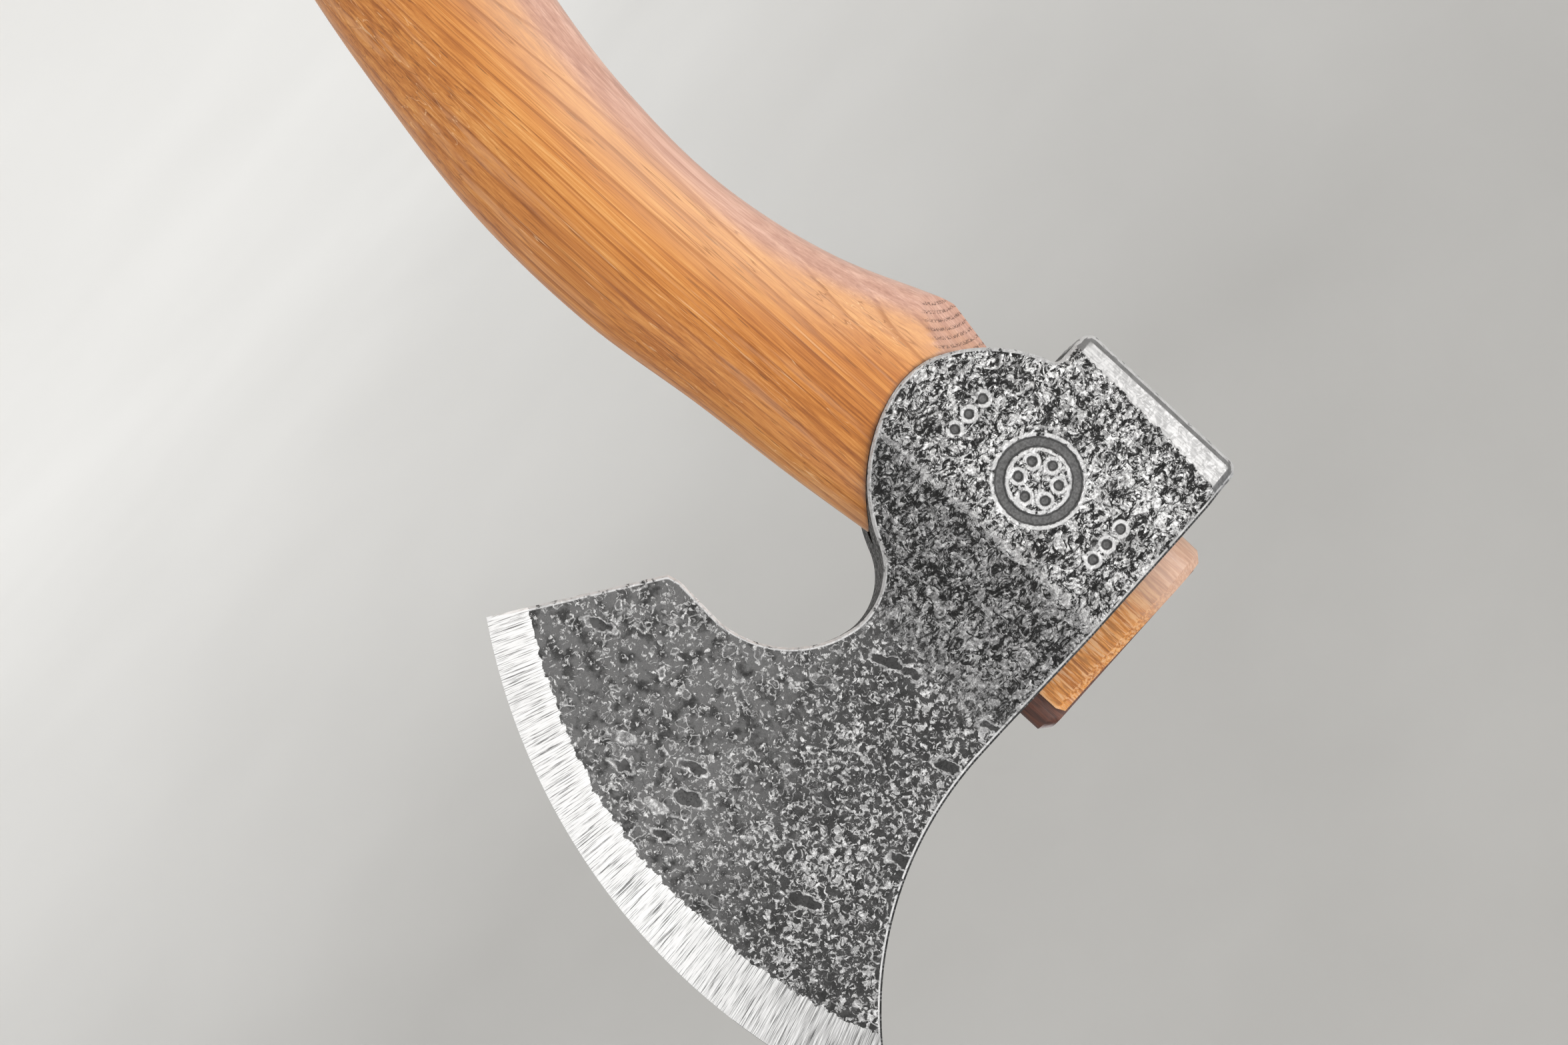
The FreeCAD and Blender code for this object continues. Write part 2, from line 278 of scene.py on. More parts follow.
def halfThickness(x, z):
    """Flat cheek, closing in front of the eye, then a blade that thins towards the edge's arc,
    then the ground bevel. The poll has a broad bevel and a narrow steep one."""
    cheek = head.flatHalf - head.cheekSlope * np.clip(x - head.cheekEnd, 0, None)
    cheek = softMin(cheek, head.flatHalf + 0 * x, 0.5)
    radius = np.hypot(x - edgeCentre[0], z - edgeCentre[1])
    inward = head.edgeRadius - radius
    blade = head.bladeHalf + head.bladeSlope * (inward - head.bevelMean)
    solid = np.where(x > eye.frontTop - head.bladeOverlap, softMax(cheek, blade, 0.7), cheek)
    ground = head.edgeHalf + inward * (head.bladeHalf - head.edgeHalf) / bevelWidth(z)
    solid = np.minimum(solid, np.clip(ground, head.edgeHalf, None))
    fromFace = x - head.pollFace
    solid = solid - head.swell * (1 - ease(fromFace, *head.swellSpan))
    width, growth, slope = head.broadBevel
    broad = width + growth * ease(z, -head.pollHeight, 0)
    solid = solid - slope * np.clip(broad - fromFace, 0, None)
    fromSides = np.minimum(-z, z + head.pollHeight)
    corner = head.pollCorner
    rounded = corner - np.hypot(
        np.clip(corner - fromFace, 0, None), np.clip(corner - fromSides, 0, None))
    inside = np.where((fromFace < corner) & (fromSides < corner), rounded, np.minimum(fromFace, fromSides))
    width, slope = head.narrowBevel
    near = 1 - ease(fromFace, *head.narrowSpan)
    return solid - slope * near * np.clip(width - inside, 0, width)


def headOutline():
    """Lower and upper outlines in matching stretches, and the poll's and the edge's ends."""
    back, span = head.neckBack, head.lugSpan
    front, low = back + span, -head.lugDrop
    fillet, corner = head.neckFillet, head.pollCorner
    fold = fillet * (1 - math.sqrt(0.5))
    cut = corner * (1 - math.sqrt(0.5))
    pollLow, face = -head.pollHeight, head.pollFace
    lowCorner, highCorner = (face + cut, pollLow + cut), (face + cut, -cut)
    neckIn, neckOut = (back - fillet, pollLow), (back, pollLow - fillet)
    lugPoints = [(back + share * span, low + rise) for share, rise in head.lugCurve]
    lugs = joined(
        arcThrough(neckOut, *lugPoints[:2]), arcThrough(*lugPoints[1:4]),
        arcThrough(*lugPoints[3:], (front, -head.lugEnd)))
    inEye = np.flatnonzero(eyeHalfWidth(lugs[:, 0], lugs[:, 1]) > 0)
    first, last, lowest = inEye[0] - 1, min(inEye[-1] + 1, len(lugs) - 1), int(np.argmin(lugs[:, 1]))
    notchRise, notchTop, notchFall, notchFront = (
        (front + share * head.notchWidth, -head.bladeNeck - drop)
        for share, drop in head.notchCurve)
    beardIn = (notchFront[0] - head.beardLean, -head.beardDrop + head.beardChamfer)
    beardOut = (notchFront[0], -head.beardDrop)
    notchLeft = arcThrough(tuple(lugs[-1]), notchRise, notchTop)
    if last < len(lugs) - 1:
        notchLeft = joined(lugs[last:], notchLeft)
    lower = [
        joined(arcThrough(lowCorner, (face + corner * 0.6, pollLow + 0.05 * corner),
                          (face + corner, pollLow)),
               straight((face + corner, pollLow), neckIn)),
        arcThrough(neckIn, (back - fold, pollLow - fold), neckOut),
        lugs[:first + 1], lugs[first:lowest + 1], lugs[lowest:last + 1], notchLeft,
        arcThrough(notchTop, notchFall, notchFront),
        straight(notchFront, beardIn), straight(beardIn, beardOut), straight(beardOut, head.heel),
    ]
    toe, flatEnd = head.toe, head.topFlatEnd
    sweep = ((toe[0] - flatEnd) ** 2 + toe[1] ** 2) / (2 * toe[1])
    turn = np.linspace(0, math.asin((toe[0] - flatEnd) / sweep), 160)
    sweepLine = np.stack([flatEnd + sweep * np.sin(turn), sweep * (1 - np.cos(turn))], 1)
    upperLine = joined(
        arcThrough(highCorner, (face + corner * 0.6, -0.05 * corner), (face + corner, 0)),
        straight((face + corner, 0), (flatEnd, 0), 400), sweepLine)
    eyeMark, *bladeMarks = head.upperMarks
    marks = [highCorner[0], back - head.neckMark, back, eye.backTop, eyeMark, eye.frontTop,
             *bladeMarks, toe[0]]
    upper = []
    for a, b in zip(marks, marks[1:]):
        inside = (upperLine[:, 0] > a + 1e-6) & (upperLine[:, 0] < b - 1e-6)
        ends = [[x, np.interp(x, upperLine[:, 0], upperLine[:, 1])] for x in (a, b)]
        if b == marks[-1]:
            ends[1] = list(toe)
        upper.append(np.concatenate([[ends[0]], upperLine[inside], [ends[1]]]))
    poll = joined(
        arcThrough(lowCorner, (face + 0.05 * corner, pollLow + corner * 0.6), (face, pollLow + corner)),
        straight((face, pollLow + corner), (face, -corner)),
        arcThrough((face, -corner), (face + 0.05 * corner, -corner * 0.6), highCorner))
    edge = arcThrough(head.heel, tuple(edgeCentre + [head.edgeRadius, 0]), toe, 400)
    return lower, upper, poll, edge


stamp = Settings(centre=(-9.5, -25.5), ringRadius=7.0, ringHalf=1.0, dotRadius=3.7, dotHalf=0.95,
             dotSpace=3.7, rows=((-10.0, -42.6), (-9.3, -9.0)), depth=0.45)


def markGap(x, z):
    """Distance outside the nearest groove of a plain punched mark: a ring, six dots inside it,
    and two rows of three dots. The places are arrays or a material's values."""
    dx, dz = x - stamp.centre[0], z - stamp.centre[1]
    away, angle = (dx * dx + dz * dz) ** 0.5, np.arctan2(dz, dx)
    folded = (angle + np.pi / 6 + 2 * np.pi) % (np.pi / 3) - np.pi / 6
    dotX, dotZ = away * np.cos(folded) - stamp.dotRadius, away * np.sin(folded)
    gap = abs(away - stamp.ringRadius) - stamp.ringHalf
    gap = np.minimum(gap, (dotX * dotX + dotZ * dotZ) ** 0.5 - stamp.dotHalf)
    for rowX, rowZ in stamp.rows:
        step = np.minimum(np.maximum(np.rint((x - rowX) / stamp.dotSpace), -1.0), 1.0)
        dx, dz = x - rowX - step * stamp.dotSpace, z - rowZ
        gap = np.minimum(gap, (dx * dx + dz * dz) ** 0.5 - stamp.dotHalf)
    return gap


def scaleRelief(x, z, seed):
    """Height of the forge scale: lumps, shallow round craters with raised rims, and pits."""
    radius = np.hypot(x - edgeCentre[0], z - edgeCentre[1])
    onBlade = ease(x, 20, 34)
    lumps = 0.07 * fractalNoise(x / 3.2, z / 3.2, seed)
    broad = 0.10 * gradientNoise(x / 14, z / 14, seed + 7)
    away, number = cellNoise(x / 4.2 + 0.12 * lumps, z / 4.2, seed + 11)
    size = 0.16 + 0.22 * number
    crater = np.exp(-((away - size) / 0.06) ** 2) * 0.07 - 0.05 * (1 - ease(away, 0, size))
    crater = crater * (number > 0.55)
    ridges = 1 - np.abs(fractalNoise(x / 2.4 + 5, z / 3.6, seed + 21))
    ridges = 0.10 * np.clip(ridges - 0.72, 0, None) * 3
    pits = -0.16 * ease(gradientNoise(x / 1.7, z / 1.7, seed + 31), 0.45, 0.8)
    relief = broad + lumps + onBlade * (crater + ridges) + (0.5 + 0.5 * onBlade) * pits
    off = ease(head.edgeRadius - radius, bevelWidth(z) - 0.6, bevelWidth(z) + 0.8)
    polishEnd = head.polishLow + 2.2 * ease(z, -37, 0)
    polish = ease(x - head.pollFace, polishEnd, polishEnd + 2.2)
    return relief * off * polish


def rimInset(loop):
    """The outline moved inwards by the chamfer, which is small at the edge and full behind it."""
    tangent = np.roll(loop, -1, 0) - np.roll(loop, 1, 0)
    tangent /= np.hypot(*tangent.T)[:, None]
    inward = np.stack([-tangent[:, 1], tangent[:, 0]], 1)
    fromEdge = head.edgeRadius - np.hypot(*(loop - edgeCentre).T)
    least = head.edgeChamfer
    chamfer = least + (head.rimChamfer - least) * ease(fromEdge, 0.2, 5)
    return loop + inward * chamfer[:, None], inward, chamfer


def cheekPatch(inset, columns):
    """A patch between four outline curves: straight lines from the lower outline to the upper
    one, plus the bulge of the edge's arc, which fades with the cube of the way back, and of the
    poll's corners, which fades with the sixth power of the way forward."""
    rows = head.rows
    low, right = inset[:columns], inset[columns - 1:columns + rows]
    high = inset[columns + rows - 1:2 * columns + rows - 1][::-1]
    left = np.concatenate([inset[:1], inset[2 * columns + rows - 1:][::-1], high[:1]])
    u = np.linspace(0, 1, columns)[None, :, None]
    t = np.linspace(0, 1, rows + 1)
    v = (0.65 * t + 0.35 * (1 - np.cos(np.pi * t)) / 2)[:, None, None]
    bulgeRight = right[:, None] - ((1 - v) * low[-1] + v * high[-1])
    bulgeLeft = left[:, None] - ((1 - v) * low[0] + v * high[0])
    flat = (1 - v) * low[None] + v * high[None] + u ** 3 * bulgeRight + (1 - u) ** 6 * bulgeLeft
    return flat[..., 0], flat[..., 1]


def distanceInside(x, z, inset):
    """Distance from each place on the cheek to the nearest point of its rim."""
    gaps = [np.hypot(xRow[:, None] - inset[None, :, 0], zRow[:, None] - inset[None, :, 1]).min(1)
            for xRow, zRow in zip(x, z)]
    return np.stack(gaps)


def eyeMouths(loop, columns):
    """Half width of the eye's mouth at each point of the outline, 0 away from the eye, and the
    stretches of the lower and the upper outline that cross it."""
    first, last = sum(head.columns[:3]), sum(head.columns[:5])
    lowSpan = np.arange(first, last + 1)
    highSpan = columns + head.rows - 1 + (columns - 1 - lowSpan)
    mouth = np.zeros(len(loop))
    mouth[lowSpan] = eyeHalfWidth(loop[lowSpan, 0], loop[lowSpan, 1])
    mouth[highSpan] = eyeHalfWidth(loop[highSpan, 0], 0 * loop[highSpan, 1])
    mouth[[first, last, highSpan[0], highSpan[-1]]] = 0
    return mouth, lowSpan, highSpan


def makeHead():
    """Two cheeks with forge scale, walls from each rim to the middle plane or to the eye's
    mouths, and the eye's own wall, made of straight lines from mouth to mouth."""
    lower, upper, poll, edge = headOutline()
    rows, rings = head.rows, head.wallRings
    low, high = (joined(*map(spaced, line, head.columns, head.crowd)) for line in (lower, upper))
    left, right = spaced(poll, rows, 0.35), spaced(edge, rows, 0.35)
    columns = len(low)
    loop = np.concatenate([low, right[1:], high[-2::-1], left[-2:0:-1]])
    size = len(loop)
    inset, inward, chamfer = rimInset(loop)
    x, z = cheekPatch(inset, columns)
    depthIn = distanceInside(x, z, inset)
    thickness = halfThickness(x, z)
    length = np.concatenate([[0], np.cumsum(np.hypot(*np.diff(loop, axis=0).T))])
    outlineHalf = halfThickness(loop[:, 0], loop[:, 1])
    ringStart = np.maximum(outlineHalf - chamfer, 0.5 * outlineHalf)
    mouth, lowSpan, highSpan = eyeMouths(loop, columns)

    parts = MeshParts()
    for side, seed in ((-1, 40), (1, 240)):
        relief = scaleRelief(x, z, seed) * ease(depthIn, 0, 1.6)
        if side < 0:
            relief = relief - stamp.depth * (1 - ease(markGap(x, z), -0.3, 0.3))
        y = side * np.clip(thickness + relief, 0.05, head.widest)
        parts.addGrid(stacked(x, y, z), across=-depthIn, along=0.0)
        share = np.linspace(0, 1, rings + 1)[:, None]
        depth = ringStart * (1 - share) + mouth * share
        wobble = 0.10 * gradientNoise(length[None, :] / 2.3, share * 7 + seed, seed + 3)
        wobble = wobble * (4 * share * (1 - share)) * ease(outlineHalf, 0.3, 3)
        ringX, ringZ = (loop[:, k] + wobble * inward[:, k] for k in (0, 1))
        band = stacked(ringX, side * depth, ringZ)
        cheekY = np.concatenate([y[0], y[1:, -1], y[-1, -2::-1], y[-2:0:-1, 0]])
        first = stacked(inset[:, 0], cheekY, inset[:, 1])
        across = np.concatenate([np.zeros((1, size)), 1 + share * np.ones(size) * rings])
        parts.addGrid(np.concatenate([first[None], band]), wrap=True, across=across, along=length[None, :])
        down = np.linspace(0, 1, head.eyeRows + 1)[:, None]
        wallX, wallZ = (high[lowSpan, k] * (1 - down) + low[lowSpan, k] * down for k in (0, 1))
        wallHalf = eyeHalfWidth(wallX, wallZ)
        wallHalf[0], wallHalf[-1] = mouth[highSpan], mouth[lowSpan]
        wallHalf[:, [0, -1]] = 0
        parts.addGrid(stacked(wallX, side * wallHalf, wallZ), across=1.0 + rings, along=0.0)
    return parts.build("steel_head", 30)


# The handle's shape, and the wedge's.

handle = Settings(
    length=370.0, shoulderDrop=57.8, shoulderDepth=43.1, shoulderThick=28.4, shoulderFront=17.9,
    buttDepth=35.0, buttThick=22.0, ovalEnd=0.74, around=176,
    # last row above the shoulder: rise, shift, growth in depth and in thickness
    underLugs=(18.0, -3.5, 3.0, 0.4),
    # rows: crowded at the butt, even up the grip, then closer towards the lugs
    rowsButt=14, buttShare=0.028, rowsLow=210, coarseShare=0.87, rowsHigh=110,
    facet=(-0.78, 0.60, 0.148), gap=0.08, tongueProud=6.2, tongueChamfer=1.6, tongueFront=17.2,
    kerfDepth=35.0, farAway=99.0, deepInside=20.0,
    # share of the way from butt to shoulder, centre, depth, thickness
    sections=((0.010, -13.0, 38.5, 25.4), (0.038, -13.2, 41.0, 27.4), (0.080, -14.6, 39.4, 27.0),
              (0.145, -17.4, 35.6, 25.8), (0.240, -20.3, 33.2, 25.0), (0.385, -18.8, 34.6, 25.4),
              (0.530, -11.9, 36.3, 26.6), (0.655, -2.9, 37.2, 27.6), (0.770, 4.0, 35.8, 28.0),
              (0.850, 4.9, 35.0, 28.0), (0.930, 1.4, 36.6, 28.0)),
)
wedge = Settings(halfTop=2.9, halfLow=0.7, depth=30.0, proud=6.6, back=-18.9, chamfer=1.6, gap=0.08)


def smoothCurve(stations, values, at):
    """A cubic through the stations whose slopes are the averages of the slopes on each side."""
    stations, values = np.array(stations), np.array(values)
    steps = np.diff(stations)
    rise = np.diff(values) / steps
    between = (rise[:-1] * steps[1:] + rise[1:] * steps[:-1]) / (steps[:-1] + steps[1:])
    slope = np.concatenate([[rise[0]], between, [rise[-1]]])
    k = np.clip(np.searchsorted(stations, at) - 1, 0, len(steps) - 1)
    t = (at - stations[k]) / steps[k]
    h = steps[k]
    return (values[k] * (1 + 2 * t) * (1 - t) ** 2 + slope[k] * h * t * (1 - t) ** 2
            + values[k + 1] * t * t * (3 - 2 * t) + slope[k + 1] * h * t * t * (t - 1))


def handleSections():
    """Heights above the butt and the centre, depth and thickness there."""
    shoulder = handle.length - handle.shoulderDrop
    rows = [(0.0, handle.sections[0][1], handle.buttDepth, handle.buttThick)]
    rows += [(share * shoulder, *rest) for share, *rest in handle.sections]
    depth, thick, front = handle.shoulderDepth, handle.shoulderThick, handle.shoulderFront
    rise, shift, deeper, thicker = handle.underLugs
    rows.append((shoulder, front - depth / 2, depth, thick))
    rows.append((shoulder + rise, front - depth / 2 + shift, depth + deeper, thick + thicker))
    return [np.array(column) for column in zip(*rows)]


def ovalPoint(turn, depth, thick):
    """Oval of four tangent arcs, by the direction of its normal: end arcs, then flatter sides."""
    a, b = depth / 2, thick / 2
    end = handle.ovalEnd * b
    side = ((a - end) ** 2 + b * b - end * end) / (2 * (b - end))
    tilt = np.arctan2(side - b, a - end)
    c, s = np.cos(turn), np.sin(turn)
    onEnd = np.abs(s) < np.sin(tilt)
    x = np.where(onEnd, np.sign(c) * (a - end) + end * c, side * c)
    y = np.where(onEnd, end * s, side * s - np.sign(s) * (side - b))
    return x, y


def lugHeight(x, lower):
    """Height of the lugs' lower edge above a place along the eye."""
    line = joined(*lower[2:5])
    return np.interp(x, line[:, 0], line[:, 1])


def handleSkin(turn, height, sections):
    """Point of the grip's surface: the oval about the curving centre, cut back by two slanting
    planes at the shoulder's back corner."""
    stations, centres, depths, thicks = sections
    centre = smoothCurve(stations, centres, height)
    depth = smoothCurve(stations, depths, height)
    thick = smoothCurve(stations, thicks, height)
    dx, dy = ovalPoint(turn, depth, thick)
    z = height - handle.length
    cornerX = handle.shoulderFront - handle.shoulderDepth
    nx, ny, nz = np.array(handle.facet) / np.linalg.norm(handle.facet)
    room = nx * (cornerX - centre) + nz * (-handle.shoulderDrop - z)
    reach = nx * dx + ny * np.abs(dy)
    scale = np.where(reach > 1e-6, room / np.maximum(reach, 1e-6), 9.0)
    scale = softMin(np.clip(scale, 0, 9), np.ones_like(scale), 0.012)
    return centre + dx * scale, dy * scale, z, dx * scale + depth / 2, ease(1 - scale, 0.004, 0.02)


def makeHandle():
    """Rings from the butt to the lugs, drawn in to the eye and closed there; the tongue's two
    halves are drop outlines split by the kerf."""
    lower = headOutline()[0]
    sections = handleSections()
    around = handle.around
    turn = np.linspace(0, 2 * np.pi, around, endpoint=False)
    turn = turn - 0.25 * np.sin(2 * turn)
    top = np.full(around, handle.length - 46.0)
    for _ in range(40):
        x = handleSkin(turn, top, sections)[0]
        top = 0.5 * top + 0.5 * (handle.length + lugHeight(x, lower) - handle.gap)
    coarse = handle.coarseShare * np.linspace(0, 1, handle.rowsLow)
    fine = np.linspace(handle.coarseShare, 1, handle.rowsHigh)
    butt = handle.buttShare * np.linspace(0, 1, handle.rowsButt) ** 1.6
    share = np.concatenate([butt, coarse[coarse > handle.buttShare + 0.0005], fine[1:]])
    height = share[:, None] * top[None, :]
    x, y, z, fromBack, facet = handleSkin(turn[None, :] + 0 * height, height, sections)
    body = stacked(x, y, z)
    centre = np.mean(body[0], 0)
    foot = np.stack([centre + (body[0] - centre) * s for s in (0.0, 0.25, 0.5, 0.75, 0.93)])
    neckX = np.interp(np.cos(turn), [-1, 1], [eye.backLow + 0.3, eye.frontLow - 0.3])
    neckY = np.sign(np.sin(turn)) * eyeHalfWidth(neckX, -50.0 + 0 * neckX, handle.gap)
    neckZ = lugHeight(neckX, lower) - handle.gap
    ledge = stacked(neckX, neckY, neckZ)
    lift = -handle.kerfDepth - 1.0
    neck = stacked(neckX, neckY, lift)
    close = neck.mean(0)
    cap = np.stack([close + (neck - close) * s for s in (0.5, 0.0)])
    parts = MeshParts()
    under, inside = np.zeros((len(foot) - 1, around)), np.zeros((4, around))
    nearSteel = np.concatenate([under + handle.farAway, top[None, :] - height, inside])
    skin = np.concatenate([foot[:-1], body, ledge[None], neck[None], cap])
    fromBack = np.concatenate([under + fromBack[:1], fromBack, inside + handle.deepInside])
    facet = np.concatenate([under, facet, inside])
    parts.addGrid(skin, wrap=True, nearSteel=nearSteel, fromBack=fromBack, facet=facet)
    for side in (-1, 1):
        tongueHalf(parts, side, lift)
    return parts.build("hardwood_handle", 24)


def kerfHalf(z):
    """Half width of the V cut at a height."""
    return wedge.halfTop + (wedge.halfTop - wedge.halfLow) / wedge.depth * z


def tongueHalf(parts, side, bottom, count=70):
    """One half of the tongue: the drop outline outside, the kerf's slanting side inside."""
    proud, chamfer = handle.tongueProud, handle.tongueChamfer
    heights = np.concatenate([np.linspace(bottom + 0.02, -0.5, 24), np.linspace(-0.2, proud - chamfer, 14),
                              [proud - 0.66 * chamfer, proud - 0.33 * chamfer, proud]])
    inset = np.clip(heights - (proud - chamfer), 0, None)[:, None]
    z = heights[:, None]
    inner = np.maximum(kerfHalf(z), 0.25)
    back = eye.backTop + handle.gap + inset
    radius = eye.backRadius - handle.gap - inset
    start = back + radius - np.sqrt(np.clip(radius ** 2 - inner ** 2, 0, None))
    front = handle.tongueFront - 0.5 * inset
    t = np.linspace(0, 1, count)[None, :]
    t = 0.6 * t + 0.4 * (1 - np.cos(np.pi * t)) / 2
    x = start + (front - start) * t
    outer = eyeHalfWidth(x, np.minimum(z, 0) + 0 * x, handle.gap) - inset
    outer = np.maximum(outer, inner + 0.03)
    rings = closedRings(x, side * outer, side * inner, z)
    near = np.concatenate([[0.0], np.clip(heights, 0, None), [proud]])[:, None]
    parts.addGrid(rings, wrap=True, nearSteel=near, fromBack=handle.deepInside, facet=0.0)


def makeWedge(count=60):
    """A tapering slip of wood: straight sides, a square back and a front rounded to the eye."""
    proud, chamfer, gap = wedge.proud, wedge.chamfer, wedge.gap
    heights = np.concatenate([
        np.linspace(-wedge.depth, -0.5, 20), np.linspace(-0.2, proud - chamfer, 12),
        [proud - 0.6 * chamfer, proud - 0.25 * chamfer, proud]])
    inset = np.clip(heights - (proud - chamfer), 0, None)[:, None]
    z = heights[:, None]
    half = kerfHalf(z) - gap - 0.25 * inset
    share = np.clip(-z / head.lugDrop, 0, 1)
    front = eye.frontTop + share * (eye.frontLow - eye.frontTop) - gap - 1.15 * inset
    back = wedge.back + 0.5 * inset
    t = np.linspace(0, 1, count)[None, :]
    t = 0.4 * t + 0.6 * (1 - np.cos(np.pi * t)) / 2
    x = back + (front - back) * t
    tip = eye.frontRadius - gap
    nose = np.sqrt(np.clip(tip ** 2 - np.clip(x - (front - tip), 0, None) ** 2, 0, None))
    width = np.minimum(half + 0 * x, nose)
    parts = MeshParts()
    parts.addGrid(closedRings(x, -width, width, z), wrap=True)
    return parts.build("dark_wedge", 24)


# Node materials written as expressions.

class Value(np.lib.mixins.NDArrayOperatorsMixin):
    """An output socket; arithmetic and numpy's functions on it add Math nodes."""

    operations = dict(
        add="ADD", subtract="SUBTRACT", multiply="MULTIPLY", divide="DIVIDE", power="POWER",
        absolute="ABSOLUTE", minimum="MINIMUM", maximum="MAXIMUM", remainder="MODULO", rint="ROUND",
        sin="SINE", cos="COSINE", arctan2="ARCTAN2")

    def __init__(self, finish, socket):
        self.finish, self.socket = finish, socket

    def __array_ufunc__(self, function, method, *inputs):
        operation = self.operations[function.__name__]
        return self.finish.node("Math", dict(operation=operation), dict(enumerate(inputs)))

    def carried(self, low, high, first, last, way="LINEAR"):
        """From one span to another, held at its ends."""
        return self.finish.node("MapRange", dict(interpolation_type=way), {
            "Value": self, "From Min": low, "From Max": high, "To Min": first, "To Max": last})

    def over(self, limit, soft):
        """0 below the limit and 1 above it, over a soft width."""
        return self.carried(limit - soft, limit + soft, 0.0, 1.0, "SMOOTHSTEP")

    def under(self, limit, soft):
        """1 below the limit and 0 above it, over a soft width."""
        return 1 - self.over(limit, soft)

    def peak(self, half):
        """1 where the value is 0, falling evenly to 0 at a half width to either side."""
        return np.maximum(1 - abs(self) / half, 0.0)


def grey(value):
    """A grey that leans a little towards blue."""
    return value, value, value * 1.01


class Finish:
    """One material. node() makes any node: its settings first, then its sockets' values or links."""

    def __init__(self, name, origin=(0, 0, 0)):
        self.material = bpy.data.materials.new(name)
        self.material.use_nodes = True
        self.tree = self.material.node_tree
        self.tree.nodes.clear()
        objectPlace = self.node("TexCoord", output="Object")
        moved = self.node("VectorMath", dict(operation="SUBTRACT"), {0: objectPlace, 1: tuple(origin)})
        self.place = self.node("VectorMath", dict(operation="SCALE"), {0: moved, "Scale": 1000.0})
        self.x, self.y, self.z = (
            self.node("SeparateXYZ", inputs={0: self.place}, output=k) for k in range(3))

    def node(self, kind, settings=None, inputs=None, output=0):
        made = self.tree.nodes.new("ShaderNode" + kind)
        for key, value in (settings or {}).items():
            if key == "stops":
                self.setStops(made.color_ramp, value)
            else:
                setattr(made, key, value)
        for key, value in (inputs or {}).items():
            socket = made.inputs[key]
            if isinstance(value, Value):
                self.tree.links.new(value.socket, socket)
            elif isinstance(value, tuple) and len(value) == 3 and socket.type == "RGBA":
                socket.default_value = (*value, 1.0)
            else:
                socket.default_value = value
        return Value(self, made.outputs[output])

    def ramp(self, value, stops):
        """Colours at places along a value; a colour given as one number is a grey."""
        stops = [(at, colour if isinstance(colour, tuple) else grey(colour)) for at, colour in stops]
        return self.node("ValToRGB", dict(stops=stops), {0: value})

    def setStops(self, ramp, stops):
        while len(ramp.elements) > 1:
            ramp.elements.remove(ramp.elements[-1])
        for k, (place, colour) in enumerate(stops):
            element = ramp.elements[0] if k == 0 else ramp.elements.new(place)
            element.position, element.color = place, (*colour, 1.0)

    def stretched(self, place, stretch):
        place = place or self.place
        if stretch:
            place = self.node("VectorMath", dict(operation="MULTIPLY"), {0: place, 1: stretch})
        return place

    def noise(self, scale, detail=2.0, roughness=0.5, distortion=0.0, place=None, stretch=None):
        """Noise about one unit of 1/scale millimetres across, stretched along each axis."""
        return self.node("TexNoise", inputs={
            "Vector": self.stretched(place, stretch), "Scale": scale, "Detail": detail,
            "Roughness": roughness, "Distortion": distortion})

    def grain(self, scale, stretch, detail=2.0, roughness=0.5):
        """Noise stretched along the handle: below 1 makes it longer there."""
        return self.noise(scale, detail, roughness, stretch=(1, 1, stretch))

    def cells(self, scale, stretch=None, place=None, output="Distance"):
        """Distance to the nearest of many scattered points, about 1/scale millimetres apart."""
        inputs = {"Vector": self.stretched(place, stretch), "Scale": scale}
        return self.node("TexVoronoi", inputs=inputs, output=output)

    def cellPair(self, scale, place):
        """Distance to the nearest scattered point, and that point's own number from 0 to 1."""
        colour = self.cells(scale, place=place, output="Color")
        return self.cells(scale, place=place), self.node("SeparateColor", inputs={0: colour})

    def mix(self, share, first, second):
        return self.node("Mix", dict(data_type="RGBA"), {"Factor": share, 6: first, 7: second}, 2)

    def attribute(self, name):
        return self.node("Attribute", dict(attribute_name=name, attribute_type="GEOMETRY"), output="Fac")

    def finishWith(self, bump=None, strength=1.0, distance=0.0002, **sockets):
        """The surface shader and its output; a socket's name is written with underscores."""
        inputs = {name.replace("_", " "): value for name, value in sockets.items()}
        if bump:
            inputs["Normal"] = self.node("Bump", inputs={
                "Strength": strength, "Distance": distance, "Height": bump})
        shader = self.node("BsdfPrincipled", inputs=inputs)
        out = self.tree.nodes.new("ShaderNodeOutputMaterial")
        self.tree.links.new(shader.socket, out.inputs[0])
        return self.material


# Brightness of the steel at places along each part's tone.
steelLook = Settings(
    plateau=((0.40, 0.22), (0.50, 0.52), (0.59, 1.0)), slope=((0.38, 0.14), (0.50, 0.29), (0.60, 0.62)),
    blade=((0.38, 0.24), (0.50, 0.46), (0.60, 0.88)), hollow=((0.36, 0.003), (0.52, 0.011), (0.66, 0.035)),
    bladeDark=((0.36, 0.018), (0.50, 0.036), (0.66, 0.080)), mark=((0.35, 0.075), (0.65, 0.135)),
    ground=((0.37, 0.14), (0.43, 0.46), (0.48, 0.92), (0.60, 1.0)),
    groundDull=((0.38, 0.12), (0.50, 0.40), (0.62, 0.78)),
    poll=((0.38, 0.31), (0.50, 0.36), (0.62, 0.42)), wall=((0.38, 0.010), (0.52, 0.028), (0.62, 0.15)),
    bumpStrength=0.9, bumpDepth=0.00024, gloss=0.22,
)


